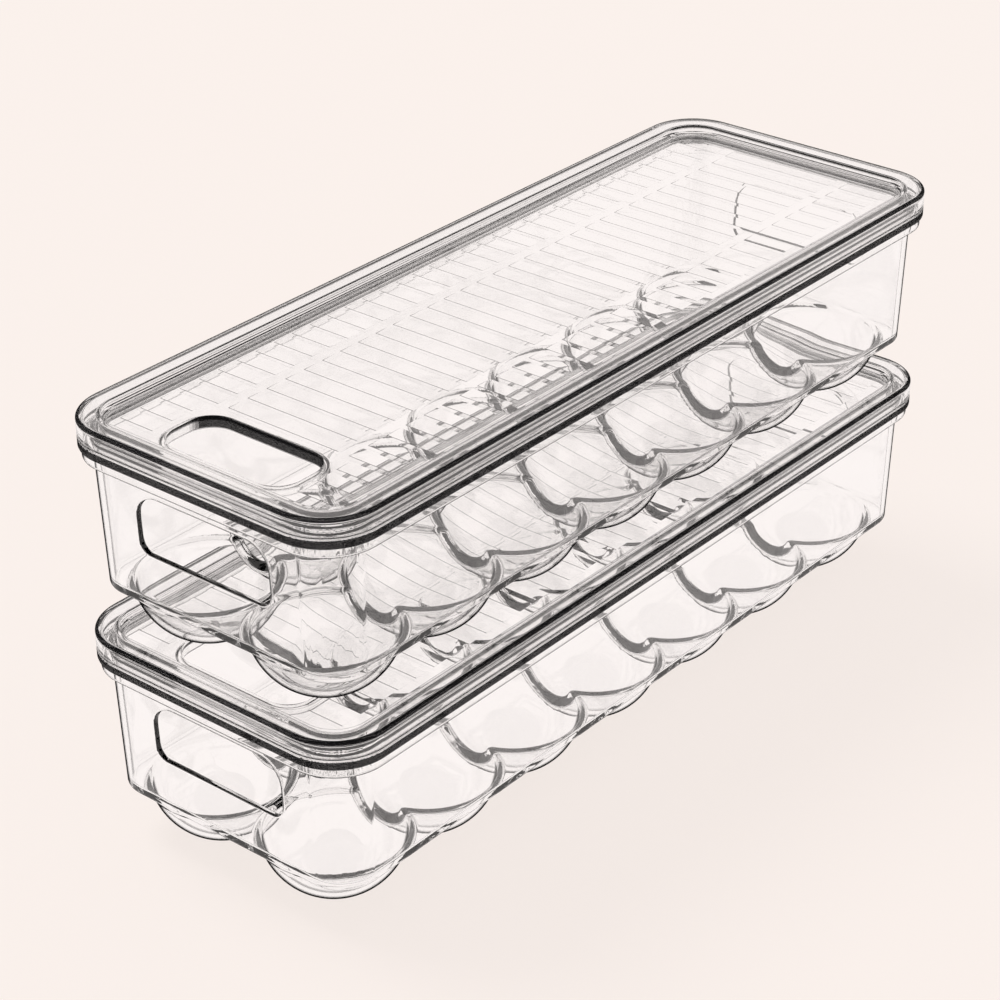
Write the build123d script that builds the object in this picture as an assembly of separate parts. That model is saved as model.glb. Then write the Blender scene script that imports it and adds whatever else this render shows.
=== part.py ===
from build123d import *
from math import acos, asin, cos, pi, radians, sin, sqrt, tan
import os

# Two clear egg holders for the fridge, one standing on the other. Each is a moulded tray
# with two rows of seven round cups, and a lid with a grip slot that lifts off.
# Frame: X is the width, Y the length with the slot end at -Y, and Z is up. The origin is
# the middle of the footprint, on the surface that the lower cups stand on.

# Overall size of one closed holder
LENGTH = 370.0
WIDTH = 132.0
CLOSED_HEIGHT = 89.5
CORNER_RADIUS = 22.0

# Plastic thickness
TRAY_WALL = 2.2
LID_SKIN = 2.0

# Cups
CUP_ROWS = 7
CUP_COLUMNS = 2
CUP_RADIUS = 28.0
CUP_FOOT_RADIUS = 6.0
CUP_FACETS = 20
CUP_DEPTH = 22.0
CUP_SIDE_MARGIN = 3.0
MOUTH_FLARE = 1.6

# Tray walls and rim
FLOOR_INSET = 7.0
WALL_DRAFT = 2.0
RIM_EDGE_HEIGHT = 4.0
RIM_LEDGE = 1.8
SKIRT_HEIGHT = 4.0
SKIRT_INSET = 1.2
SKIRT_WALL = 1.6
LIP_CLEARANCE = 0.4

# Hand hole in each end wall
HAND_HOLE_WIDTH = 62.0
HAND_HOLE_HEIGHT = 23.5
HAND_HOLE_UPPER_RADIUS = 10.0
HAND_HOLE_LOWER_RADIUS = 5.0
HAND_HOLE_BELOW_SKIRT = 5.5

# Lid
BAND_HEIGHT = 7.5
BAND_CHAMFER = 1.2
PARTING_CHAMFER = 0.4
RIM_WIDTH = 8.5
RECESS_DEPTH = 3.5
RECESS_DRAFT = 25.0
PLUG_CLEARANCE = 0.6
PLUG_WALL = 1.8
PLUG_DEPTH = 3.5

# Grip slot near the front of the lid, with a collar that hangs below the panel
SLOT_LENGTH = 59.0
SLOT_WIDTH = 27.0
SLOT_RADIUS = 10.0
SLOT_FROM_FRONT = 28.0
SLOT_CHAMFER = 0.6
COLLAR_WALL = 2.0
COLLAR_DROP = 3.0

# Shallow ramps sunk into the top of the lid's panel, in three columns
RAMP_PITCH = 9.6
RAMP_RUN = 7.0
RAMP_DEPTH = 0.35
RAMP_SIDE_LENGTH = 19.0
RAMP_COLUMN_GAP = 5.0
RAMP_EDGE_MARGIN = 6.0
RAMP_SLOT_MARGIN = 2.5

# Heights that follow from the sizes above
FLOOR_TOP = CUP_DEPTH + TRAY_WALL
RIM_TOP = CLOSED_HEIGHT - BAND_HEIGHT
SKIRT_FOOT = RIM_TOP - RIM_EDGE_HEIGHT - SKIRT_HEIGHT
PANEL_TOP = CLOSED_HEIGHT - RECESS_DEPTH
PANEL_FOOT = PANEL_TOP - LID_SKIN
LIP_TOP = PANEL_FOOT - LIP_CLEARANCE
PLUG_FOOT = PANEL_FOOT - PLUG_DEPTH
STACK_PITCH = PANEL_TOP

# Places that follow from the sizes above
CUP_PITCH_Y = (LENGTH - 2 * (FLOOR_INSET + CUP_RADIUS)) / (CUP_ROWS - 1)
CUP_PITCH_X = (WIDTH - 2 * (FLOOR_INSET + CUP_SIDE_MARGIN + CUP_RADIUS)) / (CUP_COLUMNS - 1)
PLUG_INSET = (
    FLOOR_INSET
    + TRAY_WALL
    - (PLUG_FOOT - FLOOR_TOP) * tan(radians(WALL_DRAFT))
    + PLUG_CLEARANCE
)
SLOT_Y = SLOT_FROM_FRONT - LENGTH / 2


def outline(inset):
    """The holder's rounded outline, set in from its largest size."""
    return RectangleRounded(WIDTH - 2 * inset, LENGTH - 2 * inset, CORNER_RADIUS - inset)


def block(inset, z_low, z_high, draft=0.0):
    """A block of that outline at its lower face, wider above where it has a draft."""
    return Pos(0, 0, z_low) * extrude(outline(inset), z_high - z_low, taper=-draft)


def dish(inset, z_high, z_low, draft):
    """A block of that outline at its upper face, narrower below."""
    return Pos(0, 0, z_high) * extrude(
        outline(inset), z_high - z_low, dir=(0, 0, -1), taper=draft
    )


def cup_places():
    for column in range(CUP_COLUMNS):
        for row in range(CUP_ROWS):
            x = (column - (CUP_COLUMNS - 1) / 2) * CUP_PITCH_X
            y = (row - (CUP_ROWS - 1) / 2) * CUP_PITCH_Y
            yield Pos(x, y, 0)


def ball_profile(radius, z_foot, z_top):
    """Points on a ball from its flat foot up to a height, with one point halfway."""
    centre = z_foot + sqrt(radius**2 - CUP_FOOT_RADIUS**2)
    first = asin(CUP_FOOT_RADIUS / radius)
    last = acos((centre - z_top) / radius)
    angles = [first, (first + last) / 2, last]
    return [(radius * sin(a), centre - radius * cos(a)) for a in angles]


def turned(points):
    """The solid that a profile of radii and heights makes round Z, in flat facets."""
    step = 2 * pi / CUP_FACETS
    rings = [
        [Vector(r * cos(step * i), r * sin(step * i), z) for i in range(CUP_FACETS)]
        for r, z in points
    ]
    faces = [Face(Wire.make_polygon(rings[0])), Face(Wire.make_polygon(rings[-1]))]
    for low, high in zip(rings, rings[1:]):
        for i in range(CUP_FACETS):
            corners = [low[i - 1], low[i], high[i], high[i - 1]]
            faces.append(Face(Wire.make_polygon(corners)))
    return Solid(Shell(faces))


def cup_outside():
    return turned(ball_profile(CUP_RADIUS, 0, CUP_DEPTH))


def cup_inside():
    """The hollow of one cup, flared at its mouth so that its row runs together."""
    points = ball_profile(CUP_RADIUS - TRAY_WALL, TRAY_WALL, FLOOR_TOP)
    mouth_radius, mouth_height = points[-1]
    points[-1] = (mouth_radius + MOUTH_FLARE, mouth_height)
    return turned(points)


def hand_hole():
    """The cutter for the hand hole in the rear wall."""
    face = Rectangle(HAND_HOLE_WIDTH, HAND_HOLE_HEIGHT)
    face = fillet(face.vertices().group_by(Axis.Y)[-1], HAND_HOLE_UPPER_RADIUS)
    face = fillet(face.vertices().group_by(Axis.Y)[0], HAND_HOLE_LOWER_RADIUS)
    height = SKIRT_FOOT - HAND_HOLE_BELOW_SKIRT - HAND_HOLE_HEIGHT / 2
    cutter = extrude(Plane.XZ * face, 2 * (FLOOR_INSET + TRAY_WALL), both=True)
    return Pos(0, LENGTH / 2, height) * cutter


def tray():
    """Walls and floor with the cups hung under it, a rim with a skirt, and two hand holes."""
    rim = block(0, RIM_TOP - RIM_EDGE_HEIGHT, RIM_TOP)
    rim = chamfer(rim.edges().group_by(Axis.Z)[-1], PARTING_CHAMFER)
    skirt = block(SKIRT_INSET, SKIRT_FOOT, RIM_TOP - RIM_EDGE_HEIGHT)
    under_rim = block(SKIRT_INSET + SKIRT_WALL, SKIRT_FOOT, RIM_TOP - RIM_LEDGE)
    body = block(FLOOR_INSET, CUP_DEPTH, LIP_TOP, WALL_DRAFT) + (rim + skirt - under_rim)
    outside = cup_outside()
    body = body.fuse(*[place * outside for place in cup_places()])

    inside = cup_inside()
    hollows = [place * inside for place in cup_places()]
    hollow = hollows[0].fuse(*hollows[1:]) & block(FLOOR_INSET + TRAY_WALL, 0, FLOOR_TOP)
    hollow += block(FLOOR_INSET + TRAY_WALL, FLOOR_TOP, LIP_TOP, WALL_DRAFT)
    hole = hand_hole()
    return body - hollow - hole - mirror(hole, Plane.XZ)


def ramps():
    """The cutters for the ramps: each has a sharp step in front and fades to the rear."""
    half_width = WIDTH / 2 - RIM_WIDTH - RECESS_DEPTH * tan(radians(RECESS_DRAFT))
    half_length = half_width + (LENGTH - WIDTH) / 2
    outer_end = half_width - RAMP_EDGE_MARGIN
    inner_end = outer_end - RAMP_SIDE_LENGTH
    middle_end = inner_end - RAMP_COLUMN_GAP
    slot_reach = SLOT_WIDTH / 2 + COLLAR_WALL + RAMP_SLOT_MARGIN
    slot_end = SLOT_LENGTH / 2 + COLLAR_WALL + RAMP_SLOT_MARGIN
    rows = int(2 * (half_length - RAMP_EDGE_MARGIN) / RAMP_PITCH)
    cutters = []
    for row in range(rows):
        y = (row - (rows - 1) / 2) * RAMP_PITCH - RAMP_RUN / 2
        beside_slot = SLOT_Y - slot_reach - RAMP_RUN < y < SLOT_Y + slot_reach
        inner = max(inner_end, slot_end) if beside_slot else inner_end
        spans = [(-outer_end, -inner), (inner, outer_end)]
        if not beside_slot:
            spans.append((-middle_end, middle_end))
        wedge = Polyline((y, 0), (y + RAMP_RUN, 0), (y, -RAMP_DEPTH), close=True)
        for left, right in spans:
            face = make_face(Plane.YZ.offset(left) * wedge)
            cutter = extrude(face, right - left, dir=(1, 0, 0))
            cutters.append(Pos(0, 0, PANEL_TOP) * cutter)
    return cutters


def lid():
    """A band and rim round a sunk panel, with a plug below, a grip slot and ramps."""
    body = block(0, RIM_TOP, CLOSED_HEIGHT)
    body = chamfer(body.edges().group_by(Axis.Z)[-1], BAND_CHAMFER)
    body = chamfer(body.edges().group_by(Axis.Z)[0], PARTING_CHAMFER)
    panel = dish(RIM_WIDTH - LID_SKIN, CLOSED_HEIGHT, PANEL_FOOT, RECESS_DRAFT)
    body -= block(LID_SKIN, RIM_TOP, CLOSED_HEIGHT - LID_SKIN) - panel
    body -= dish(RIM_WIDTH, CLOSED_HEIGHT, PANEL_TOP, RECESS_DRAFT)
    plug = block(PLUG_INSET, PLUG_FOOT, PANEL_FOOT + LID_SKIN / 2)
    plug -= block(PLUG_INSET + PLUG_WALL, PLUG_FOOT, PANEL_FOOT)
    body += plug

    at_slot = Pos(0, SLOT_Y, PANEL_TOP)
    down = (0, 0, -1)
    collar = RectangleRounded(
        SLOT_LENGTH + 2 * COLLAR_WALL, SLOT_WIDTH + 2 * COLLAR_WALL, SLOT_RADIUS + COLLAR_WALL
    )
    body += at_slot * extrude(collar, LID_SKIN + COLLAR_DROP, dir=down)
    slot = extrude(
        RectangleRounded(SLOT_LENGTH, SLOT_WIDTH, SLOT_RADIUS),
        LID_SKIN + COLLAR_DROP,
        dir=down,
    )
    mouth = extrude(
        RectangleRounded(
            SLOT_LENGTH + 2 * SLOT_CHAMFER,
            SLOT_WIDTH + 2 * SLOT_CHAMFER,
            SLOT_RADIUS + SLOT_CHAMFER,
        ),
        SLOT_CHAMFER,
        dir=down,
        taper=45,
    )
    return body - at_slot * slot - at_slot * mouth - ramps()


one_tray = tray()
one_lid = lid()
pieces = {
    "lower_tray": one_tray,
    "lower_lid": one_lid,
    "upper_tray": Pos(0, 0, STACK_PITCH) * one_tray,
    "upper_lid": Pos(0, 0, STACK_PITCH) * one_lid,
}
os.makedirs("parts", exist_ok=True)
for name, piece in pieces.items():
    export_step(piece, f"parts/{name}.step")
    print(name, piece.is_valid, len(piece.solids()), round(piece.volume))
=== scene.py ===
"""Two clear stacking holders for the fridge, dressed on their packed CAD frame.

Each tray is shaped as one field of distances: drafted walls, a hooked rim, round cups
hung under the floor and a hand hole in either end, with every edge rounded. The field
becomes a dense mesh, which is thinned where it is flat and settled on the field's
surface again. Each lid is a rounded profile run round the holder's outline, closed by a
panel with shallow ramps and a slot.
"""

import math

import bmesh
import bpy
import numpy as np
from mathutils import Matrix, Vector
from mathutils.geometry import delaunay_2d_cdt


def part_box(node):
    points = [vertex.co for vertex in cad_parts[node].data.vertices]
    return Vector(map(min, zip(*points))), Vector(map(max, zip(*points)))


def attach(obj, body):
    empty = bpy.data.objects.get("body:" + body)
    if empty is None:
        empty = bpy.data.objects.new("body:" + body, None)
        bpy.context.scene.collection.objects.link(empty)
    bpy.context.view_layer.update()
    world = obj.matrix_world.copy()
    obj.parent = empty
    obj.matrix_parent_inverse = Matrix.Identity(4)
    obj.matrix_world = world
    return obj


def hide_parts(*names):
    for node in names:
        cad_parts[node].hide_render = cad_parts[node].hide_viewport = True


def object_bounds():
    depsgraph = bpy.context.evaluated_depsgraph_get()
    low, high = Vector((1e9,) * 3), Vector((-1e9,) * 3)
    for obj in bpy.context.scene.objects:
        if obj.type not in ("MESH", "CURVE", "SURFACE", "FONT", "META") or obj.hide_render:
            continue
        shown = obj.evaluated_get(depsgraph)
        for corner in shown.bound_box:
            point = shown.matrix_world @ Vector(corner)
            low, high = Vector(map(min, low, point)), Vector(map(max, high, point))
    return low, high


bl_info = {
    "name": "Stacking Fridge Holder",
    "version": (1, 0, 0),
    "blender": (4, 5, 0),
    "location": "View3D > Sidebar > Fridge Holder",
    "description": "Builds two clear stacking holders with cups and lift-off lids",
    "category": "Add Mesh",
}

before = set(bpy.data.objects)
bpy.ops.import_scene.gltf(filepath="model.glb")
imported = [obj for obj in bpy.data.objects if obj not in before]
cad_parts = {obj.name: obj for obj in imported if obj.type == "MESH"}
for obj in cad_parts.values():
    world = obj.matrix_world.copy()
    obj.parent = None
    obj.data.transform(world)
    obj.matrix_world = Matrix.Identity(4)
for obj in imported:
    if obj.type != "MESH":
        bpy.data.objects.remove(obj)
CAD_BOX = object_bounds()
MM = 0.001

# The tray's small radii, fills and overruns, in millimetres.
SKIRT_ROUND = 0.5
SKIRT_TOP_ROUND = 0.2
SKIRT_TOP_DROP = 1
RIM_TO_SKIRT_FILL = 0.25
LEDGE_ROUND = 0.6
HOOK_ROUND = 0.45
HOOK_TO_WALL_FILL = 0.5
LIP_ROUND = 0.6
EDGE_ROUND = 0.55
HIDDEN_ROUND = 0.1
CUP_OVERRUN = 1
BOWL_OVERRUN = 2
RIM_EDGE_FOOT = 0.1

# The rim's painted shade on its edge: how far in and how near the top, as shares of its rounding.
RIM_EDGE_DEPTH = 0.8
RIM_EDGE_TOP = 0.5

# How far the hand holes reach in, in floor insets, and a row that has no cup.
HAND_HOLE_REACH = 3
FAR_ROW = 99

# A slope's largest part where faces count as flat, and its fall to fully curved.
FLAT_FROM = 0.99
FLAT_FADE = 0.05

# Places to a millimetre that points are rounded to before equal ones are joined.
TRAY_KEYS = 1e3
LID_KEYS = 1e4

# Lengths in millimetres below which two points or rings count as one.
SLIVER = 1e-3
SAME_RING = 1e-6
SNAP = 1e-3
PANEL_NEAR = 1e-5

# The lids: lengths in millimetres, parts of each corner, and how fast a shade fills.
PANEL_LAP = 1
PLUG_TOP_DROP = 0.4
RIM_STEPS = 18
SLOT_STEPS = 12
SIDE_FADE = 2

# The plastic: waves from the mould, their height in metres, and rubbed patches.
FLOW = {"Scale": 14.0, "Detail": 2.0}
FLOW_HEIGHT = 0.0004
RUBBING = {"Scale": 60.0, "Detail": 5.0, "Roughness": 0.65}
RUBBED_FROM, RUBBED_TO = 0.45, 0.8
DEEPER_TINT = 0.996

# The stage and the camera: lengths in metres, and the sensor in millimetres.
FLOOR_HALF = 30.0
FLOOR_GAP = 0.0002
FLAG_COLOUR = (0.002, 0.002, 0.002, 1)
FLAG_EDGE = 0.01
FLAG_FOOT = 0.03
LAMP_SPREAD = math.radians(25)
LAMP_WAY = (0.5, 0.1, -1.0)
SENSOR_WIDTH = 36
VIEW_END = 200


# Distances, in millimetres ---------------------------------------------------------


def outline_distance(x, y, half_width, half_length, radius):
    """Distance to a rounded rectangle, less than zero inside it."""
    past_x = np.abs(x) - (half_width - radius)
    past_y = np.abs(y) - (half_length - radius)
    corner = np.hypot(np.maximum(past_x, 0), np.maximum(past_y, 0))
    return corner + np.minimum(np.maximum(past_x, past_y), 0) - radius


def overlap(a, b, radius):
    """What two shapes share, with the edge where they meet rounded."""
    edge = np.hypot(np.maximum(radius + a, 0), np.maximum(radius + b, 0))
    return np.minimum(-radius, np.maximum(a, b)) + edge


def join(a, b, radius):
    """Two shapes as one, with the corner where they meet filled."""
    return -overlap(-a, -b, radius)


class TrayField:
    """The distance from any point to one tray's plastic."""

    def __init__(self, s):
        self.s = s
        self.slope = math.tan(s.wall_draft)
        self.lean = math.cos(s.wall_draft)
        end_row = s.length / 2 - s.floor_inset - s.cup_radius
        self.pitch = end_row / ((s.cup_rows - 1) / 2)
        self.column = s.width / 2 - s.floor_inset - s.cup_side_margin - s.cup_radius
        self.outside_centre = math.sqrt(s.cup_radius**2 - s.cup_foot_radius**2)
        inside = s.cup_radius - s.cup_wall
        self.inside_centre = s.cup_wall + math.sqrt(inside**2 - s.cup_foot_radius**2)

    def ring(self, x, y, inset):
        """The distance to the holder's outline, moved in by an inset."""
        s = self.s
        return outline_distance(
            x, y, s.width / 2 - inset, s.length / 2 - inset, s.corner_radius - inset
        )

    def balls(self, x, y, z, radius, centre, blend):
        """The two cups nearest to each point, run together where they meet."""
        s = self.s
        last = (s.cup_rows - 1) / 2
        across = np.hypot(x, s.seam_fill) - self.column
        row = np.clip(np.round(y / self.pitch), -last, last)
        near = y - row * self.pitch
        beside = np.clip(row + np.where(near > 0, 1, -1), -last, last)
        far = y - np.where(beside == row, FAR_ROW, beside) * self.pitch
        rise = z - centre
        one = np.sqrt(across**2 + near**2 + rise**2) - radius
        two = np.sqrt(across**2 + far**2 + rise**2) - radius
        return join(one, two, blend)

    def __call__(self, x, y, z):
        s = self.s
        inset = s.floor_inset - (z - s.floor_low) * self.slope
        wall = self.ring(x, y, inset) * self.lean
        body = overlap(wall, s.floor_low - z, s.foot_round)
        rim = overlap(self.ring(x, y, 0), z - s.rim_top, s.rim_round)
        rim = overlap(rim, s.rim_top - s.rim_edge - z, s.rim_round)
        skirt = overlap(self.ring(x, y, s.skirt_inset), s.skirt_foot - z, SKIRT_ROUND)
        skirt = overlap(skirt, z - s.rim_top + SKIRT_TOP_DROP, SKIRT_TOP_ROUND)
        hook = join(rim, skirt, RIM_TO_SKIRT_FILL)
        under = self.ring(x, y, s.skirt_inset + s.skirt_wall)
        under = overlap(under, z - s.rim_top + s.rim_ledge, LEDGE_ROUND)
        hook = overlap(hook, -under, HOOK_ROUND)
        outside = overlap(body, z - s.lip_top, LIP_ROUND)
        outside = join(outside, hook, HOOK_TO_WALL_FILL)
        cups = self.balls(x, y, z, s.cup_radius, self.outside_centre, s.cup_blend)
        cups = overlap(cups, -z, s.cup_foot_round)
        cups = overlap(cups, z - s.floor_low - CUP_OVERRUN, HIDDEN_ROUND)
        outside = join(outside, cups, s.cup_blend)

        floor_top = s.floor_low + s.wall
        inner = self.ring(x, y, inset + s.wall) * self.lean
        cavity = overlap(inner, floor_top - z, s.floor_round)
        bowls = self.balls(
            x, y, z, s.cup_radius - s.cup_wall, self.inside_centre, s.saddle_round
        )
        bowls = overlap(bowls, z - floor_top - BOWL_OVERRUN, HIDDEN_ROUND)
        bowls = overlap(bowls, inner, s.floor_round)
        hollow = join(cavity, bowls, s.mouth_round)
        solid = overlap(outside, -hollow, EDGE_ROUND)

        middle = s.hole_top - s.hole_height / 2
        radius = np.where(z > middle, s.hole_upper_radius, s.hole_lower_radius)
        past_x = np.abs(x) - (s.hole_width / 2 - radius)
        past_z = np.abs(z - middle) - (s.hole_height / 2 - radius)
        hole = np.hypot(np.maximum(past_x, 0), np.maximum(past_z, 0))
        hole = hole + np.minimum(np.maximum(past_x, past_z), 0) - radius
        reach = s.length / 2 - HAND_HOLE_REACH * s.floor_inset
        hole = np.maximum(hole, reach - np.abs(y))
        return overlap(solid, -hole, s.hole_round)

    def on_rim_edge(self, points):
        """Whether each point lies on the upright outer edge of the rim, where shade is painted.
        """
        s = self.s
        x, y, z = points.T
        outermost = self.ring(x, y, 0) > -s.rim_round * RIM_EDGE_DEPTH
        above = z > s.rim_top - s.rim_edge + RIM_EDGE_FOOT
        below = z < s.rim_top - s.rim_round * RIM_EDGE_TOP
        return outermost & above & below

    def settled(self, points, times=4):
        """Points moved onto the surface that they lie near."""
        for _ in range(times):
            points = points - self(*points.T)[:, None] * self.slope_at(points)
        return points

    def slope_at(self, points, step=0.02):
        """The outward direction of the surface at each point."""
        found = np.empty_like(points)
        for axis in range(3):
            move = np.zeros(3)
            move[axis] = step
            ahead, behind = points + move, points - move
            found[:, axis] = self(*ahead.T) - self(*behind.T)
        return found / np.maximum(np.linalg.norm(found, axis=1, keepdims=True), 1e-9)


def bend_of(slope):
    """One on curved faces, and nought on flat ones that look along an axis; it says where the
    painted outline shade may fall.
    """
    return np.clip((FLAT_FROM - np.abs(slope).max(axis=1)) / FLAT_FADE, 0, 1)


def graded(*spans):
    """Grid lines from (end, step) spans, starting half a step below zero."""
    lines = [-spans[0][1] / 2]
    for end, step in spans:
        count = max(1, round((end - lines[-1]) / step))
        lines += list(np.linspace(lines[-1], end, count + 1)[1:])
    return np.array(lines)


CELL_CORNERS = [(i, j, k) for i in (0, 1) for j in (0, 1) for k in (0, 1)]
CELL_EDGES = [
    (a, b)
    for a in range(8)
    for b in range(a + 1, 8)
    if sum(abs(p - q) for p, q in zip(CELL_CORNERS[a], CELL_CORNERS[b])) == 1
]


def skin_of(field, lines_x, lines_y, lines_z):
    """A quarter of the field's surface as points and quads, in cells of the grid."""
    gx, gy, gz = np.meshgrid(lines_x, lines_y, lines_z, indexing="ij", sparse=True)
    value = field(gx, gy, gz)
    inside = value < 0
    count = sum(
        inside[i : i + value.shape[0] - 1, j : j + value.shape[1] - 1, k : k + value.shape[2] - 1]
        .astype(np.int8)
        for i, j, k in CELL_CORNERS
    )
    cells = np.argwhere((count > 0) & (count < 8))
    number = np.full(count.shape, -1, np.int64)
    number[tuple(cells.T)] = np.arange(len(cells))

    at = [cells + np.array(corner) for corner in CELL_CORNERS]
    held = np.stack([value[tuple(a.T)] for a in at], axis=1)
    place = np.stack(
        [
            np.stack([lines_x[a[:, 0]], lines_y[a[:, 1]], lines_z[a[:, 2]]], axis=1)
            for a in at
        ],
        axis=1,
    )
    total, hits = np.zeros((len(cells), 3)), np.zeros(len(cells))
    for a, b in CELL_EDGES:
        crossed = (held[:, a] < 0) != (held[:, b] < 0)
        gap = np.where(crossed, held[:, a] - held[:, b], 1)
        share = (held[:, a] / gap)[:, None]
        point = place[:, a] + share * (place[:, b] - place[:, a])
        total[crossed] += point[crossed]
        hits += crossed
    points = total / hits[:, None]

    quads = []
    for axis in range(3):
        ahead = np.swapaxes(inside, 0, axis)
        flip = ahead[1:] != ahead[:-1]
        edges = np.argwhere(np.swapaxes(flip, 0, axis) if axis else flip)
        one, two = [a for a in range(3) if a != axis]
        kept = (edges[:, one] > 0) & (edges[:, two] > 0)
        kept &= (edges[:, one] < value.shape[one] - 1) & (edges[:, two] < value.shape[two] - 1)
        edges = edges[kept]
        around = []
        for back_one, back_two in ((1, 1), (0, 1), (0, 0), (1, 0)):
            cell = edges.copy()
            cell[:, one] -= back_one
            cell[:, two] -= back_two
            around.append(number[tuple(cell.T)])
        quads.append(np.stack(around, axis=1))
    quads = np.concatenate(quads)
    on_mirror = cells[:, :2] == 0
    points[:, :2][on_mirror] = 0
    points = field.settled(points)
    points[:, :2][on_mirror] = 0
    return points, quads


def mirrored(field, points, quads):
    """The whole surface from the quarter where X and Y are above zero."""
    sides = [(1, 1), (-1, 1), (1, -1), (-1, -1)]
    points = np.concatenate([points * [a, b, 1] for a, b in sides])
    size = len(points) // 4
    quads = np.concatenate([quads + size * n for n in range(4)])
    keys = np.round(points * TRAY_KEYS).astype(np.int64)
    _, first, same = np.unique(keys, axis=0, return_index=True, return_inverse=True)
    points, quads = points[first], same.reshape(-1)[quads]
    corners = points[quads]
    face = np.cross(corners[:, 2] - corners[:, 0], corners[:, 3] - corners[:, 1])
    wrong = (face * field.slope_at(corners.mean(1))).sum(1) < 0
    quads[wrong] = quads[wrong][:, ::-1]
    return points, quads


def thinned(field, points, quads, most_faces):
    """Fewer faces where the surface is flat, with the points settled on it again."""
    dense = bpy.data.meshes.new("dense")
    dense.from_pydata(points.tolist(), [], quads.tolist())
    dense.validate()
    holder = bpy.data.objects.new("dense", dense)
    bpy.context.scene.collection.objects.link(holder)
    fewer = holder.modifiers.new("fewer", "DECIMATE")
    fewer.ratio = min(1, most_faces / (2 * len(quads)))
    fewer.use_collapse_triangulate = True
    seen = holder.evaluated_get(bpy.context.evaluated_depsgraph_get())
    made = bpy.data.meshes.new_from_object(seen)
    bpy.data.objects.remove(holder)
    bpy.data.meshes.remove(dense)
    whole = bmesh.new()
    whole.from_mesh(made)
    bmesh.ops.dissolve_degenerate(whole, dist=SLIVER, edges=whole.edges)
    bmesh.ops.holes_fill(whole, edges=[e for e in whole.edges if e.is_boundary])
    bmesh.ops.triangulate(whole, faces=[f for f in whole.faces if len(f.verts) > 3])
    bmesh.ops.recalc_face_normals(whole, faces=whole.faces)
    whole.to_mesh(made)
    whole.free()
    place = np.empty(3 * len(made.vertices))
    made.vertices.foreach_get("co", place)
    return made, field.settled(place.reshape(-1, 3), 2)


# Swept rings and panels, in millimetres --------------------------------------------


class Skin:
    """Faces gathered with a normal at each corner, then welded into one mesh."""

    def __init__(self):
        self.points, self.normals, self.faces, self.shades = [], [], [], []

    def add(self, points, normals, faces, shade=0.0):
        """Adds faces that share one shade, or have one each."""
        start = sum(len(p) for p in self.points)
        self.points.append(np.asarray(points, float))
        self.normals.append(np.asarray(normals, float))
        self.faces += [[start + i for i in face] for face in faces]
        self.shades += list(np.broadcast_to(shade, len(faces)))

    def mesh(self, name):
        """One mesh of all the faces, in metres, each turned the way its normals look."""
        points = np.concatenate(self.points)
        normals = np.concatenate(self.normals)
        keys = np.round(points * LID_KEYS).astype(np.int64)
        _, first, same = np.unique(keys, axis=0, return_index=True, return_inverse=True)
        same = same.reshape(-1)
        faces, corners, shades = [], [], []
        for face, shade in zip(self.faces, self.shades):
            turned, held = [], []
            for i in face:
                if same[i] not in turned:
                    turned.append(int(same[i]))
                    held.append(normals[i])
            if len(turned) < 3:
                continue
            p = points[first[turned[:3]]]
            if len(turned) == 4:
                q = points[first[turned[3]]]
                up = np.cross(p[2] - p[0], q - p[1])
            else:
                up = np.cross(p[1] - p[0], p[2] - p[0])
            if up @ sum(held) < 0:
                turned.reverse()
                held.reverse()
            faces.append(turned)
            corners += held
            shades += [shade] * len(turned)
        made = bpy.data.meshes.new(name)
        made.from_pydata((points[first] * MM).tolist(), [], faces)
        made.polygons.foreach_set("use_smooth", [True] * len(faces))
        made.normals_split_custom_set([tuple(n) for n in corners])
        # Painted shade: the darkness each face is coloured with, on chosen edges and steps.
        shade = made.attributes.new("edge_shade", "FLOAT", "CORNER")
        shade.data.foreach_set("value", shades)
        made.update()
        return made


def rounded(corners, steps=5):
    """A profile's points, normals and shades, from its corners.

    A corner is an inset, a height and a radius, then the painted shade of its arc and the
    painted shade of the straight part that follows.
    """
    places = [np.array(c[:2], float) for c in corners]
    made = []
    for i, (here, corner) in enumerate(zip(places, corners)):
        before = here - places[i - 1] if i else None
        after = places[i + 1] - here if i + 1 < len(places) else None
        turns = []
        for way in (before, after):
            if way is not None:
                way = way / np.linalg.norm(way)
                turns.append((way, np.array([-way[1], way[0]])))
        if len(turns) == 1 or corner[2] <= 0:
            made += [(here, normal, 0.0) for _, normal in turns]
            continue
        (way_in, n_in), (way_out, n_out) = turns
        angle = math.atan2(
            way_in[0] * way_out[1] - way_in[1] * way_out[0], float(way_in @ way_out)
        )
        back = corner[2] * math.tan(abs(angle) / 2)
        start = here - way_in * back
        turn = math.copysign(1, angle)
        centre = start + turn * corner[2] * n_in
        for step in range(steps + 1):
            a = angle * step / steps
            normal = np.array(
                [
                    n_in[0] * math.cos(a) - n_in[1] * math.sin(a),
                    n_in[0] * math.sin(a) + n_in[1] * math.cos(a),
                ]
            )
            kind = 3 if step < steps else 4
            shade = corner[kind] if len(corner) > kind else 0.0
            made.append((centre - turn * corner[2] * normal, normal, shade))
    return made


def loop_points(centre, half_x, half_y, radius, inset, height, steps):
    """One ring of a rounded rectangle, and the way out at each of its points."""
    points, ways = [], []
    for quarter, (sx, sy) in enumerate(((1, 1), (-1, 1), (-1, -1), (1, -1))):
        for step in range(steps + 1):
            a = math.pi / 2 * (quarter + step / steps)
            way = (math.cos(a), math.sin(a))
            points.append(
                (
                    centre[0] + sx * (half_x - radius) + (radius - inset) * way[0],
                    centre[1] + sy * (half_y - radius) + (radius - inset) * way[1],
                    height,
                )
            )
            ways.append(way)
    return np.array(points), np.array(ways)


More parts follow.
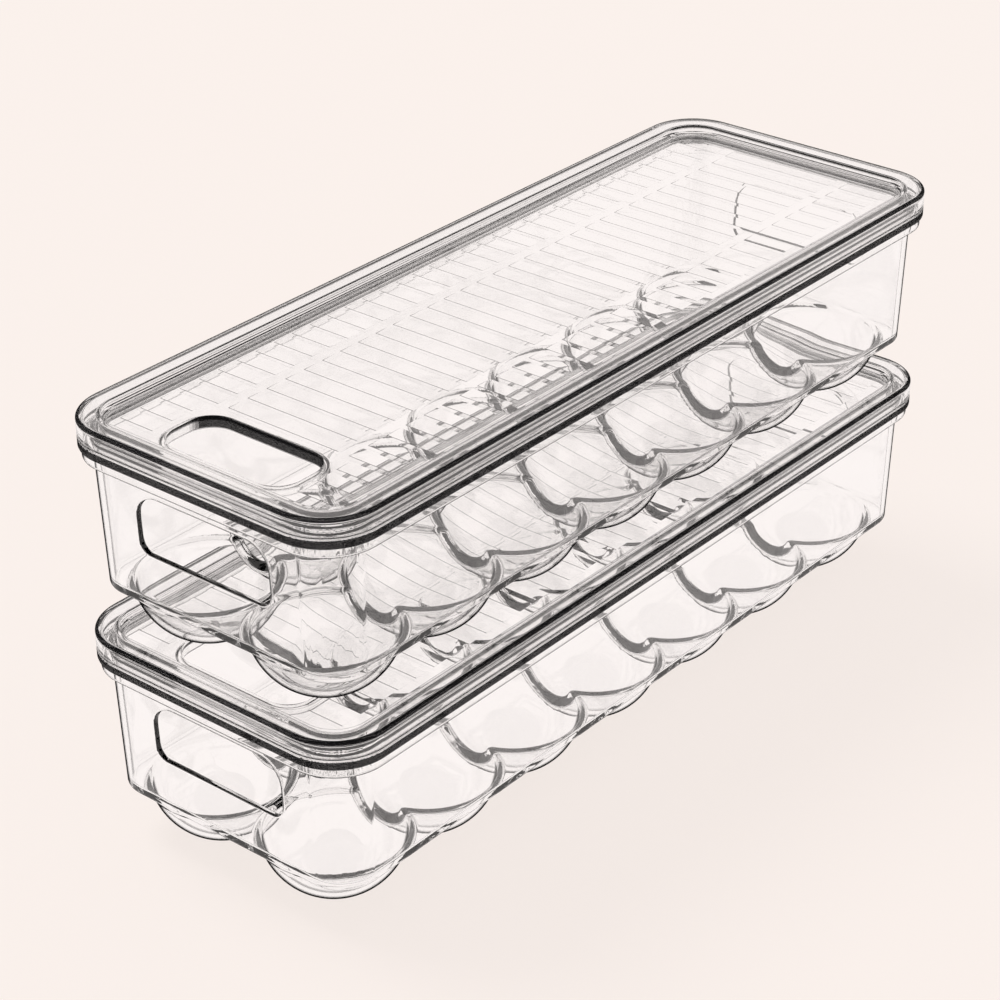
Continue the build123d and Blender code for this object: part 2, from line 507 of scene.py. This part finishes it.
def run_round(skin, profile, centre, half_x, half_y, radius, steps, side=None):
    """Runs a rounded profile round a rounded rectangle. Returns its end rings.

    Where a side is given, the painted shade is for faces on that side alone.
    """
    rings = []
    for (inset, height), (out, up), shade in profile:
        points, ways = loop_points(centre, half_x, half_y, radius, inset, height, steps)
        normals = np.column_stack([-out * ways, np.full(len(ways), up)])
        rings.append((points, normals, shade))
    for (low, low_n, shade), (high, high_n, _) in zip(rings, rings[1:]):
        if np.abs(low - high).max() < SAME_RING:
            continue
        n = len(low)
        faces = [[i, (i + 1) % n, n + (i + 1) % n, n + i] for i in range(n)]
        if side is not None:
            shade = shade * np.clip((ways @ side) * SIDE_FADE, 0, 1)
        skin.add(np.concatenate([low, high]), np.concatenate([low_n, high_n]), faces, shade)
    return rings[0][0], rings[-1][0]


def close_panel(skin, outer, holes, height, up, wedges=()):
    """Fills the flat face between an outer ring and its holes."""
    loops = [outer[:, :2]] + [h[:, :2] for h in holes]
    loops += [np.array([(a, c), (b, c), (b, d), (a, d)]) for a, b, c, d in wedges]
    points, edges = [], []
    for loop in loops:
        start = len(points)
        points += [Vector(p) for p in loop]
        edges += [(start + i, start + (i + 1) % len(loop)) for i in range(len(loop))]
    flat, _, triangles, *_ = delaunay_2d_cdt(points, edges, [], 0, PANEL_NEAR)
    flat = np.array([tuple(p) for p in flat])
    exact = np.array([tuple(p) for p in points])
    for i, p in enumerate(flat):
        near = np.abs(exact - p).sum(1)
        if near.min() < SNAP:
            flat[i] = exact[near.argmin()]
    kept = []
    for triangle in triangles:
        middle = flat[list(triangle)].mean(0)
        inside = [encloses(loop, middle) for loop in loops]
        if inside[0] and not any(inside[1:]):
            kept.append(list(triangle))
    place = np.column_stack([flat, np.full(len(flat), height)])
    skin.add(place, np.tile([0, 0, up], (len(flat), 1)), kept)


def encloses(loop, point):
    """Whether a closed line of points goes round a point."""
    after = np.roll(loop, -1, axis=0)
    over = (loop[:, 1] > point[1]) != (after[:, 1] > point[1])
    a, b = loop[over], after[over]
    cross = a[:, 0] + (point[1] - a[:, 1]) / (b[:, 1] - a[:, 1]) * (b[:, 0] - a[:, 0])
    return (cross > point[0]).sum() % 2 == 1


def add_wedge(skin, wedge, height, depth, line, shade):
    """One ramp's faces: a step in front, a slope to the rear and two sides."""
    left, right, front, rear = wedge
    edge = front + line
    rise = depth * line / (rear - front)
    foot = [(left, front, height - depth), (right, front, height - depth)]
    low = [(left, edge, height - depth + rise), (right, edge, height - depth + rise)]
    top = [(left, front, height), (right, front, height)]
    top += [(right, rear, height), (left, rear, height)]
    run = math.hypot(rear - front, depth)
    tilt = (0, -depth / run, (rear - front) / run)
    # Painted shade: the step, a strip of the slope as wide as the line and, at half, the two
    # sides are coloured dark, standing in for the dark line refraction gives at a step.
    skin.add([foot[0], foot[1], top[1], top[0]], [(0, 1, 0)] * 4, [[0, 1, 2, 3]], shade)
    skin.add([foot[0], foot[1], low[1], low[0]], [tilt] * 4, [[0, 1, 2, 3]], shade)
    skin.add([low[0], low[1], top[2], top[3]], [tilt] * 4, [[0, 1, 2, 3]])
    skin.add([foot[0], low[0], top[3], top[0]], [(1, 0, 0)] * 4, [[0, 1, 2, 3]], shade / 2)
    skin.add([foot[1], low[1], top[2], top[1]], [(-1, 0, 0)] * 4, [[0, 1, 2, 3]], shade / 2)


# Plastic ---------------------------------------------------------------------------


def combined(nodes, links, operation, one, two):
    """Two values put together by a math node."""
    node = nodes.new("ShaderNodeMath")
    node.operation = operation
    links.new(one, node.inputs[0])
    links.new(two, node.inputs[1])
    return node.outputs["Value"]


def mapped(nodes, links, value, start, end, low=0.0, high=1.0, kind="LINEAR"):
    """A value between start and end, brought to between low and high."""
    node = nodes.new("ShaderNodeMapRange")
    node.interpolation_type = kind
    node.inputs["From Min"].default_value = start
    node.inputs["From Max"].default_value = end
    node.inputs["To Min"].default_value = low
    node.inputs["To Max"].default_value = high
    links.new(value, node.inputs["Value"])
    return node.outputs["Result"]


def mixed(nodes, links, share, one, two):
    """Two shaders mixed, by the share of the second."""
    node = nodes.new("ShaderNodeMixShader")
    links.new(share, node.inputs["Fac"])
    links.new(one, node.inputs[1])
    links.new(two, node.inputs[2])
    return node.outputs["Shader"]


def noise(nodes, links, place, settings):
    """A noise laid on the object, with the given inputs."""
    node = nodes.new("ShaderNodeTexNoise")
    for name, value in settings.items():
        node.inputs[name].default_value = value
    links.new(place, node.inputs["Vector"])
    return node.outputs["Fac"]


def stored(nodes, name):
    """A value that the mesh carries, or nought where it has none."""
    node = nodes.new("ShaderNodeAttribute")
    node.attribute_name = name
    return node.outputs["Fac"]


def clear_plastic(name, finish):
    """Clear moulded plastic with faint flow waves and slight rubbing in its gloss, and painted
    shade along outlines and marked edges.
    """
    old = bpy.data.materials.get(name)
    if old:
        bpy.data.materials.remove(old)
    material = bpy.data.materials.new(name)
    material.use_nodes = True
    nodes, links = material.node_tree.nodes, material.node_tree.links
    shader = nodes["Principled BSDF"]
    shader.inputs["IOR"].default_value = finish.ior
    shader.inputs["Transmission Weight"].default_value = 1.0

    place = nodes.new("ShaderNodeTexCoord").outputs["Object"]
    flow = noise(nodes, links, place, FLOW)
    bump = nodes.new("ShaderNodeBump")
    bump.inputs["Strength"].default_value = finish.flow_waves
    bump.inputs["Distance"].default_value = FLOW_HEIGHT
    links.new(flow, bump.inputs["Height"])
    links.new(bump.outputs["Normal"], shader.inputs["Normal"])

    rub = noise(nodes, links, place, RUBBING)
    rough = (finish.roughness, finish.rubbed_roughness)
    gloss = mapped(nodes, links, rub, RUBBED_FROM, RUBBED_TO, *rough)
    links.new(gloss, shader.inputs["Roughness"])

    tint = nodes.new("ShaderNodeMix")
    tint.data_type = "RGBA"
    tint.inputs["A"].default_value = (*finish.tint, 1)
    tint.inputs["B"].default_value = (*[c * DEEPER_TINT for c in finish.tint], 1)
    links.new(flow, tint.inputs["Factor"])
    links.new(tint.outputs["Result"], shader.inputs["Base Color"])

    # Painted shade: a black matt closure mixed in where a curved face is seen at a graze, and
    # where the mesh says so, standing in for the dark that refraction gives there.
    turn = nodes.new("ShaderNodeLayerWeight")
    turn.inputs["Blend"].default_value = 0.5
    slant = (turn.outputs["Facing"], finish.skim_from, finish.skim_to)
    skim = mapped(nodes, links, *slant, kind="SMOOTHSTEP")
    outline = combined(nodes, links, "MULTIPLY", skim, stored(nodes, "bend"))
    painted_shade_share = combined(nodes, links, "MAXIMUM", outline, stored(nodes, "edge_shade"))
    painted_black = nodes.new("ShaderNodeBsdfDiffuse")
    painted_black.inputs["Color"].default_value = (*finish.edge, 1)
    look = mixed(nodes, links, painted_shade_share, shader.outputs["BSDF"], painted_black.outputs["BSDF"])
    links.new(look, nodes["Material Output"].inputs["Surface"])
    return material


def place_pieces(mesh, names):
    """Puts one object with this mesh on each named body, at its height."""
    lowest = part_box(names[0])[0].z
    for name in names:
        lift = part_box(name)[0].z - lowest
        piece = bpy.data.objects.new(f"clear_{name}", mesh)
        piece.location.z = lift
        bpy.context.scene.collection.objects.link(piece)
        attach(piece, name)
        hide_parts(name)


# Sizes and colours -----------------------------------------------------------------


def length_setting(label, about, value, **more):
    """A length that is given in millimetres."""
    return bpy.props.FloatProperty(
        name=label, description=about, default=value, min=0.01, precision=2, **more
    )


def angle_setting(label, about, degrees):
    """An angle that is given in degrees."""
    return bpy.props.FloatProperty(
        name=label, description=about, default=math.radians(degrees), subtype="ANGLE"
    )


def shade_setting(label, about, value):
    """A darkness, from nought to one."""
    return bpy.props.FloatProperty(name=label, description=about, default=value, min=0, max=1)


def colour_setting(label, about, value):
    """A colour without transparency."""
    return bpy.props.FloatVectorProperty(
        name=label, description=about, subtype="COLOR", size=3, default=value, min=0, max=1
    )


class TraySizes(bpy.types.PropertyGroup):
    """Sizes of one tray, in millimetres."""

    width: length_setting("Width", "Outer width, in mm", (CAD_BOX[1].x - CAD_BOX[0].x) / MM)
    length: length_setting("Length", "Outer length, in mm", (CAD_BOX[1].y - CAD_BOX[0].y) / MM)
    corner_radius: length_setting("Corner radius", "Outer corner radius, in mm", 22.0)
    wall: length_setting("Wall", "Thickness of walls and floor, in mm", 2.2)
    wall_draft: angle_setting("Wall draft", "Lean of the walls from upright", 2)
    floor_inset: length_setting("Floor inset", "Inset of the walls at the floor, in mm", 7.0)
    floor_low: length_setting("Cup depth", "Height of the floor's underside, in mm", 22.0)
    rim_top: length_setting("Rim top", "Height of the rim, in mm", 82.0)
    lip_top: length_setting("Lip top", "Height of the lip inside the lid, in mm", 83.6)
    rim_edge: length_setting("Rim edge", "Height of the rim's outer edge, in mm", 4.0)
    rim_ledge: length_setting("Rim ledge", "Thickness of the rim's ledge, in mm", 1.8)
    rim_round: length_setting("Rim rounding", "Radius of the rim's edges, in mm", 0.6)
    skirt_foot: length_setting("Skirt foot", "Height of the skirt's lower edge, in mm", 74.0)
    skirt_inset: length_setting("Skirt inset", "Inset of the skirt, in mm", 1.2)
    skirt_wall: length_setting("Skirt wall", "Thickness of the skirt, in mm", 1.6)
    foot_round: length_setting("Lower edge rounding", "Radius under the walls, in mm", 1.6)
    floor_round: length_setting("Floor rounding", "Radius where floor meets wall, in mm", 1.5)
    cup_rows: bpy.props.IntProperty(
        name="Cup rows", description="Cups along the length", default=7, min=2
    )
    cup_radius: length_setting("Cup radius", "Outer radius of each cup's ball, in mm", 28.0)
    cup_wall: length_setting("Cup wall", "Thickness of each cup, in mm", 2.2)
    cup_foot_radius: length_setting("Cup foot radius", "Radius of the flat foot, in mm", 6.0)
    cup_foot_round: length_setting("Cup foot rounding", "Edge of the flat foot, in mm", 0.8)
    cup_side_margin: length_setting("Cup side margin", "Floor beside the cups, in mm", 3.0)
    cup_blend: length_setting("Cup blend", "Fill between cups and floor, in mm", 1.6)
    seam_fill: length_setting("Seam fill", "Fill where the columns' cups touch, in mm", 0.5)
    mouth_round: length_setting("Mouth rounding", "Radius of the cups' mouths, in mm", 1.3)
    saddle_round: length_setting("Saddle rounding", "Radius between two cups, in mm", 3.0)
    hole_width: length_setting("Hand hole width", "Width of the hand holes, in mm", 62.0)
    hole_height: length_setting("Hand hole height", "Height of the hand holes, in mm", 23.5)
    hole_top: length_setting("Hand hole top", "Height of the hand holes' top, in mm", 68.5)
    hole_upper_radius: length_setting("Upper radius", "Hand hole's upper corners, in mm", 10.0)
    hole_lower_radius: length_setting("Lower radius", "Hand hole's lower corners, in mm", 5.0)
    hole_round: length_setting("Hole rounding", "Radius of the hand hole's edge, in mm", 0.7)
    # The painted shade on the rim's edge.
    rim_shade: shade_setting("Rim shade", "How dark the rim's edge looks", 0.95)
    most_faces: bpy.props.IntProperty(
        name="Most faces", description="Faces in one tray's mesh", default=190000, min=10000
    )


class LidSizes(bpy.types.PropertyGroup):
    """Sizes of one lid, in millimetres."""

    width: length_setting("Width", "Outer width, in mm", (CAD_BOX[1].x - CAD_BOX[0].x) / MM)
    length: length_setting("Length", "Outer length, in mm", (CAD_BOX[1].y - CAD_BOX[0].y) / MM)
    corner_radius: length_setting("Corner radius", "Outer corner radius, in mm", 22.0)
    band_foot: length_setting("Band foot", "Height of the band's lower edge, in mm", 82.0)
    top: length_setting("Top", "Height of the rim, in mm", 89.5)
    skin: length_setting("Skin", "Thickness of the plastic, in mm", 2.0)
    rim_width: length_setting("Rim width", "Width of the flat rim, in mm", 8.5)
    recess: length_setting("Recess", "Depth of the sunk panel, in mm", 3.5)
    recess_draft: angle_setting("Recess draft", "Lean of the recess wall from upright", 25)
    plug_inset: length_setting("Plug inset", "Inset of the plug's outer face, in mm", 7.834)
    plug_wall: length_setting("Plug wall", "Thickness of the plug, in mm", 1.8)
    plug_depth: length_setting("Plug depth", "Drop of the plug below the panel, in mm", 3.5)
    slot_length: length_setting("Slot length", "Length of the grip slot, in mm", 59.0)
    slot_width: length_setting("Slot width", "Width of the grip slot, in mm", 27.0)
    slot_radius: length_setting("Slot radius", "Corners of the grip slot, in mm", 10.0)
    slot_from_front: length_setting("Slot place", "Slot's middle from the front, in mm", 28.0)
    collar_wall: length_setting("Collar wall", "Thickness of the slot's collar, in mm", 2.0)
    collar_drop: length_setting("Collar drop", "Drop of the collar below the panel, in mm", 3.0)
    ramp_pitch: length_setting("Ramp pitch", "Distance between ramps, in mm", 9.6)
    ramp_run: length_setting("Ramp run", "Length of each slope, in mm", 7.0)
    ramp_depth: length_setting("Ramp depth", "Height of each ramp's step, in mm", 0.15)
    ramp_side: length_setting("Side ramps", "Length of the side ramps, in mm", 19.0)
    ramp_gap: length_setting("Ramp gap", "Gap between ramp columns, in mm", 5.0)
    ramp_margin: length_setting("Ramp margin", "Ramps' distance from the wall, in mm", 6.0)
    ramp_slot_margin: length_setting("Slot margin", "Ramps' distance from the slot, in mm", 2.5)
    # Painted shade: how dark the outer and inner edges and the ramps' steps are coloured, and the
    # width of the painted line in front of each step.
    edge_shade: shade_setting("Edge shade", "How dark the outer edges look", 0.95)
    fine_shade: shade_setting("Fine shade", "How dark the inner edges look", 0.3)
    ramp_line: length_setting("Ramp line", "Width of the dark line in front, in mm", 0.4)
    ramp_shade: shade_setting("Ramp shade", "How dark the ramps' steps look", 0.85)


class PlasticFinish(bpy.types.PropertyGroup):
    """How the clear plastic looks."""

    tint: colour_setting("Tint", "Colour of light through the plastic", (0.999, 0.998, 0.998))
    # The painted shade: colour of a black matt closure mixed in at outlines and marked edges,
    # standing in for the dark that refraction gives there.
    edge: colour_setting(
        "Edge", "Colour of the plastic where it is seen edge-on", (0.008, 0.008, 0.009)
    )
    # The slants between which the painted outline shade fades in.
    skim_from: bpy.props.FloatProperty(
        name="Skim from", description="Slant at which an outline begins", default=0.7
    )
    skim_to: bpy.props.FloatProperty(
        name="Skim to", description="Slant at which an outline is darkest", default=0.84
    )
    ior: bpy.props.FloatProperty(
        name="IOR", description="How strongly the plastic bends light", default=1.52, min=1
    )
    roughness: bpy.props.FloatProperty(
        name="Roughness", description="Roughness of the polished skin", default=0.0, min=0
    )
    rubbed_roughness: bpy.props.FloatProperty(
        name="Rubbed roughness", description="Roughness where handled", default=0.03, min=0
    )
    flow_waves: bpy.props.FloatProperty(
        name="Flow waves", description="Strength of the moulding's waves", default=0.03, min=0
    )


class StageSettings(bpy.types.PropertyGroup):
    """The floor, its colour and the studio light."""

    pale: colour_setting(
        "Background", "Colour of the floor and the room behind", (0.965, 0.888, 0.846)
    )
    through: colour_setting(
        "Seen through",
        "Colour of the floor and the room as the clear plastic shows them",
        (0.975, 0.92, 0.90),
    )
    shadow: bpy.props.FloatProperty(
        name="Shadow", description="How much of the floor's shade is shown", default=0.12
    )
    daylight: bpy.props.FloatProperty(
        name="Room light", description="Strength of the even light", default=0.55
    )
    key_light: bpy.props.FloatProperty(
        name="Key light", description="Strength of the main lamp", default=1.6
    )
    flag_from: angle_setting(
        "Black ceiling", "Height above the horizon where the dark ceiling begins", 46
    )
    side_flags: angle_setting("Black sides", "Way to the two black flags, from the X axis", 25)
    side_reach: angle_setting("Reach of the sides", "Half the width of each black flag", 24)


class ViewSettings(bpy.types.PropertyGroup):
    """Where the camera stands."""

    azimuth: angle_setting("Azimuth", "Round the holder", 39.770)
    elevation: angle_setting("Elevation", "Above the horizon", 29.081)
    roll: angle_setting("Roll", "Turn of the frame", -0.501)
    target: bpy.props.FloatVectorProperty(
        name="Aim",
        description="Point at the middle of the view",
        default=(-0.12264, 0.12573, -0.01278),
        subtype="TRANSLATION",
        unit="LENGTH",
    )
    distance: bpy.props.FloatProperty(
        name="Distance", description="From the aim point", default=1.26673, unit="LENGTH"
    )
    lens: bpy.props.FloatProperty(
        name="Lens", description="Focal length, in mm on a 36 mm sensor", default=97.851
    )


# Operators -------------------------------------------------------------------------


class HOLDER_OT_trays(bpy.types.Operator):
    """Builds the two trays with their cups and hand holes"""

    bl_idname = "holder.trays"
    bl_label = "Trays"

    def execute(self, context):
        s = context.scene.holder_tray
        field = TrayField(s)
        points, quads = mirrored(field, *skin_of(field, *tray_grid(s)))
        mesh, points = thinned(field, points, quads, s.most_faces)
        mesh.name = "tray"
        mesh.vertices.foreach_set("co", (points * MM).ravel())
        mesh.polygons.foreach_set("use_smooth", [True] * len(mesh.polygons))
        slope = field.slope_at(points)
        mesh.normals_split_custom_set_from_vertices(slope.tolist())
        # Where the painted outline shade may fall: one on curved faces.
        bend = mesh.attributes.new("bend", "FLOAT", "POINT")
        bend.data.foreach_set("value", bend_of(slope))
        # Painted shade on the rim's upright outer face, for faces whose corners all lie on it.
        vertex = np.empty(len(mesh.loops), int)
        mesh.loops.foreach_get("vertex_index", vertex)
        dark = field.on_rim_edge(points)[vertex].reshape(-1, 3).all(axis=1)
        shade = mesh.attributes.new("edge_shade", "FLOAT", "CORNER")
        shade.data.foreach_set("value", np.repeat(dark * s.rim_shade, 3))
        mesh.update()
        mesh.materials.append(clear_plastic("tray_plastic", context.scene.holder_finish))
        place_pieces(mesh, ("lower_tray", "upper_tray"))
        return {"FINISHED"}


def tray_grid(s):
    """Grid lines along X, Y and Z, close together at edges and far apart on plain walls.

    Each pair is the end of a span and the step within it, in millimetres.
    """
    corner = s.corner_radius
    floor = s.floor_low
    hole_low = s.hole_top - s.hole_height
    lines_x = graded((s.width / 2 - corner, 0.9), (s.width / 2 + 0.6, 0.5))
    lines_y = graded((s.length / 2 - corner, 0.9), (s.length / 2 + 0.6, 0.5))
    lines_z = graded(
        (2, 0.5),
        (floor - 3, 1.1),
        (floor + 6, 0.6),
        (hole_low - 2, 4),
        (hole_low + 2, 0.5),
        (s.hole_top - s.hole_upper_radius, 2),
        (s.hole_top - 2, 1.1),
        (s.hole_top + 1.2, 0.5),
        (s.skirt_foot - 1, 1.5),
        (s.lip_top + 0.6, 0.45),
    )
    return lines_x, lines_y, lines_z


class HOLDER_OT_lids(bpy.types.Operator):
    """Builds the two lids with their rim, plug, ramps and grip slot"""

    bl_idname = "holder.lids"
    bl_label = "Lids"

    def execute(self, context):
        s = context.scene.holder_lid
        panel = s.top - s.recess
        foot = panel - s.skin
        lean = math.tan(s.recess_draft)
        wall_foot = s.rim_width + s.recess * lean
        under = s.rim_width - s.skin
        plug = s.plug_inset
        plug_in = plug + s.plug_wall
        plug_foot = foot - s.plug_depth
        # Each corner: inset, height, radius, then painted shade on chosen edges.
        profile = rounded(
            [
                (plug_in + PANEL_LAP, foot, 0),
                (plug_in, foot, 0.5, s.fine_shade),
                (plug_in, plug_foot, 0.6),
                (plug, plug_foot, 0.6),
                (plug, s.top - (plug - under) / lean - PLUG_TOP_DROP, 0.3),
                (under + s.skin * lean, s.top - s.skin, 0.8),
                (s.skin, s.top - s.skin, 0.8),
                (s.skin, s.band_foot, 0.5),
                (0, s.band_foot, 0.6, s.edge_shade),
                (0, s.top, 1.3, s.edge_shade),
                (s.rim_width, s.top, 0.7, s.fine_shade),
                (wall_foot, panel, 0.5, s.fine_shade / 2),
                (wall_foot + PANEL_LAP, panel, 0),
            ]
        )
        skin = Skin()
        half_x, half_y = s.width / 2, s.length / 2
        size = ((0, 0), half_x, half_y, s.corner_radius, RIM_STEPS)
        inner_foot, inner_top = run_round(skin, profile, *size)
        slot_y = s.slot_from_front - half_y
        collar_foot = panel - s.skin - s.collar_drop
        # The slot's collar, with painted shade on its top edge and its wall on the far (+Y) side
        # only.
        collar = rounded(
            [
                (-PANEL_LAP, panel, 0),
                (0, panel, 0.6, s.edge_shade, s.edge_shade),
                (0, collar_foot, 0.8, s.fine_shade),
                (-s.collar_wall, collar_foot, 0.8),
                (-s.collar_wall, foot, 0.6),
                (-s.collar_wall - PANEL_LAP, foot, 0),
            ]
        )
        size = ((0, slot_y), s.slot_length / 2, s.slot_width / 2, s.slot_radius, SLOT_STEPS)
        slot_top, slot_foot = run_round(skin, collar, *size, side=(0, 1))
        wedges = ramp_places(s, half_x - wall_foot, half_y - wall_foot, slot_y)
        for wedge in wedges:
            add_wedge(skin, wedge, panel, s.ramp_depth, s.ramp_line, s.ramp_shade)
        close_panel(skin, inner_top, [slot_top], panel, 1, wedges)
        close_panel(skin, inner_foot, [slot_foot], foot, -1)
        mesh = skin.mesh("lid")
        mesh.materials.append(clear_plastic("lid_plastic", context.scene.holder_finish))
        place_pieces(mesh, ("lower_lid", "upper_lid"))
        return {"FINISHED"}


def ramp_places(s, half_width, half_length, slot_y):
    """Each ramp's left, right, front and rear, in three columns clear of the slot."""
    outer = half_width - s.ramp_margin
    inner = outer - s.ramp_side
    middle = inner - s.ramp_gap
    reach = s.slot_width / 2 + s.collar_wall + s.ramp_slot_margin
    end = s.slot_length / 2 + s.collar_wall + s.ramp_slot_margin
    rows = int(2 * (half_length - s.ramp_margin) / s.ramp_pitch)
    places = []
    for row in range(rows):
        front = (row - (rows - 1) / 2) * s.ramp_pitch - s.ramp_run / 2
        beside = slot_y - reach - s.ramp_run < front < slot_y + reach
        near = max(inner, end) if beside else inner
        spans = [(-outer, -near), (near, outer)]
        if not beside:
            spans.append((-middle, middle))
        places += [(a, b, front, front + s.ramp_run) for a, b in spans]
    return places


class HOLDER_OT_stage(bpy.types.Operator):
    """Lays the pale floor and sets the studio light"""

    bl_idname = "holder.stage"
    bl_label = "Stage"

    def execute(self, context):
        s = context.scene.holder_stage
        scene = context.scene
        mesh = bpy.data.meshes.new("floor")
        sides = [(-1, -1), (1, -1), (1, 1), (-1, 1)]
        corners = [(x * FLOOR_HALF, y * FLOOR_HALF, 0) for x, y in sides]
        mesh.from_pydata(corners, [], [(0, 1, 2, 3)])
        floor = bpy.data.objects.new("floor", mesh)
        floor.location.z = CAD_BOX[0].z - FLOOR_GAP
        scene.collection.objects.link(floor)
        mesh.materials.append(floor_paint(s))

        world = bpy.data.worlds.new("studio")
        scene.world = world
        world.use_nodes = True
        nodes, links = world.node_tree.nodes, world.node_tree.links
        room = nodes["Background"]
        room.inputs["Color"].default_value = (*s.pale, 1)
        room.inputs["Strength"].default_value = s.daylight
        behind = nodes.new("ShaderNodeBackground")
        links.new(seen_colour(s, nodes, links), behind.inputs["Color"])
        flags = nodes.new("ShaderNodeBackground")
        flags.inputs["Color"].default_value = FLAG_COLOUR
        way = nodes.new("ShaderNodeTexCoord")
        split = nodes.new("ShaderNodeSeparateXYZ")
        links.new(way.outputs["Generated"], split.inputs["Vector"])
        high = step_at(nodes, links, split.outputs["Z"], math.sin(s.flag_from))
        side = nodes.new("ShaderNodeVectorMath")
        side.operation = "DOT_PRODUCT"
        links.new(way.outputs["Generated"], side.inputs[0])
        side.inputs[1].default_value = (math.cos(s.side_flags), math.sin(s.side_flags), 0)
        both_sides = nodes.new("ShaderNodeMath")
        both_sides.operation = "ABSOLUTE"
        links.new(side.outputs["Value"], both_sides.inputs[0])
        beside = step_at(nodes, links, both_sides.outputs["Value"], math.cos(s.side_reach))
        raised = step_at(nodes, links, split.outputs["Z"], FLAG_FOOT)
        side_flag = combined(nodes, links, "MULTIPLY", beside, raised)
        dark = combined(nodes, links, "MAXIMUM", high, side_flag)
        pale, black = behind.outputs["Background"], flags.outputs["Background"]
        seen_room = mixed(nodes, links, dark, pale, black)
        seen = seen_rays(nodes, links)
        whole = mixed(nodes, links, seen, room.outputs["Background"], seen_room)
        links.new(whole, nodes["World Output"].inputs["Surface"])

        lamp = bpy.data.lights.new("key", "SUN")
        lamp.energy = s.key_light
        lamp.angle = LAMP_SPREAD
        key = bpy.data.objects.new("key", lamp)
        key.rotation_euler = Vector(LAMP_WAY).to_track_quat("-Z", "Y").to_euler()
        key.visible_glossy = False
        key.visible_transmission = False
        scene.collection.objects.link(key)
        scene.view_settings.view_transform = "Standard"
        return {"FINISHED"}


def step_at(nodes, links, value, middle):
    """Nought below the middle and one above it, with a narrow rise between them."""
    return mapped(nodes, links, value, middle - FLAG_EDGE, middle + FLAG_EDGE)


def seen_colour(s, nodes, links):
    """The background's colour, a little whiter where it is seen in the plastic."""
    light = nodes.new("ShaderNodeLightPath")
    colour = nodes.new("ShaderNodeMix")
    colour.data_type = "RGBA"
    colour.inputs["A"].default_value = (*s.through, 1)
    colour.inputs["B"].default_value = (*s.pale, 1)
    links.new(light.outputs["Is Camera Ray"], colour.inputs["Factor"])
    return colour.outputs["Result"]


def seen_rays(nodes, links):
    """One for rays that look at a surface, straight or through gloss and plastic."""
    light = nodes.new("ShaderNodeLightPath")
    total = light.outputs["Is Camera Ray"]
    for ray in ("Is Glossy Ray", "Is Transmission Ray"):
        total = combined(nodes, links, "MAXIMUM", total, light.outputs[ray])
    return total


def floor_paint(s):
    """Matt paper that shows its own colour, with a share of its shade."""
    material = bpy.data.materials.new("floor_paper")
    material.use_nodes = True
    nodes, links = material.node_tree.nodes, material.node_tree.links
    nodes.remove(nodes["Principled BSDF"])
    paper = nodes.new("ShaderNodeBsdfDiffuse")
    paper.inputs["Color"].default_value = (*s.pale, 1)
    glow = nodes.new("ShaderNodeEmission")
    links.new(seen_colour(s, nodes, links), glow.inputs["Color"])
    light = nodes.new("ShaderNodeLightPath")
    shade = nodes.new("ShaderNodeMath")
    shade.operation = "MULTIPLY"
    shade.inputs[1].default_value = s.shadow
    links.new(light.outputs["Is Camera Ray"], shade.inputs[0])
    paint = paper.outputs["BSDF"]
    share = mixed(nodes, links, shade.outputs["Value"], glow.outputs["Emission"], paint)
    whole = mixed(nodes, links, seen_rays(nodes, links), paint, share)
    links.new(whole, nodes["Material Output"].inputs["Surface"])
    return material


class HOLDER_OT_camera(bpy.types.Operator):
    """Sets the camera at its place"""

    bl_idname = "holder.camera"
    bl_label = "Camera"

    def execute(self, context):
        s = context.scene.holder_view
        a, e, r = s.azimuth, s.elevation, s.roll
        look = Vector(
            (-math.sin(a) * math.cos(e), math.cos(a) * math.cos(e), -math.sin(e))
        )
        level = Vector((math.cos(a), math.sin(a), 0))
        rise = level.cross(look)
        right = level * math.cos(r) + rise * math.sin(r)
        up = rise * math.cos(r) - level * math.sin(r)
        data = bpy.data.cameras.new("camera")
        data.sensor_width = SENSOR_WIDTH
        data.lens = s.lens
        data.clip_end = VIEW_END
        camera = bpy.data.objects.new("camera", data)
        turn = Matrix((right, up, -look)).transposed()
        camera.matrix_world = Matrix.Translation(
            Vector(s.target) - look * s.distance
        ) @ turn.to_4x4()
        context.scene.collection.objects.link(camera)
        context.scene.camera = camera
        return {"FINISHED"}


class HOLDER_PT_panel(bpy.types.Panel):
    """Lists the holder's pieces and settings"""

    bl_idname = "HOLDER_PT_panel"
    bl_label = "Fridge Holder"
    bl_space_type = "VIEW_3D"
    bl_region_type = "UI"
    bl_category = "Fridge Holder"

    def draw(self, context):
        layout = self.layout
        for operator in OPERATORS:
            layout.operator(operator.bl_idname)
        for name, group in SETTINGS.items():
            box = layout.box()
            box.label(text=group.__doc__)
            for setting in group.__annotations__:
                box.prop(getattr(context.scene, name), setting)


OPERATORS = (HOLDER_OT_trays, HOLDER_OT_lids, HOLDER_OT_stage, HOLDER_OT_camera)
SETTINGS = {
    "holder_tray": TraySizes,
    "holder_lid": LidSizes,
    "holder_finish": PlasticFinish,
    "holder_stage": StageSettings,
    "holder_view": ViewSettings,
}


def register():
    """Adds the settings, the operators and the panel to Blender."""
    for group in (*SETTINGS.values(), *OPERATORS, HOLDER_PT_panel):
        bpy.utils.register_class(group)
    for name, group in SETTINGS.items():
        setattr(bpy.types.Scene, name, bpy.props.PointerProperty(type=group))


def unregister():
    """Takes them out again."""
    for name in SETTINGS:
        delattr(bpy.types.Scene, name)
    for group in reversed((*SETTINGS.values(), *OPERATORS, HOLDER_PT_panel)):
        bpy.utils.unregister_class(group)


def main():
    """Builds the whole scene."""
    register()
    bpy.ops.holder.trays()
    bpy.ops.holder.lids()
    bpy.ops.holder.stage()
    bpy.ops.holder.camera()


if __name__ == "__main__":
    main()
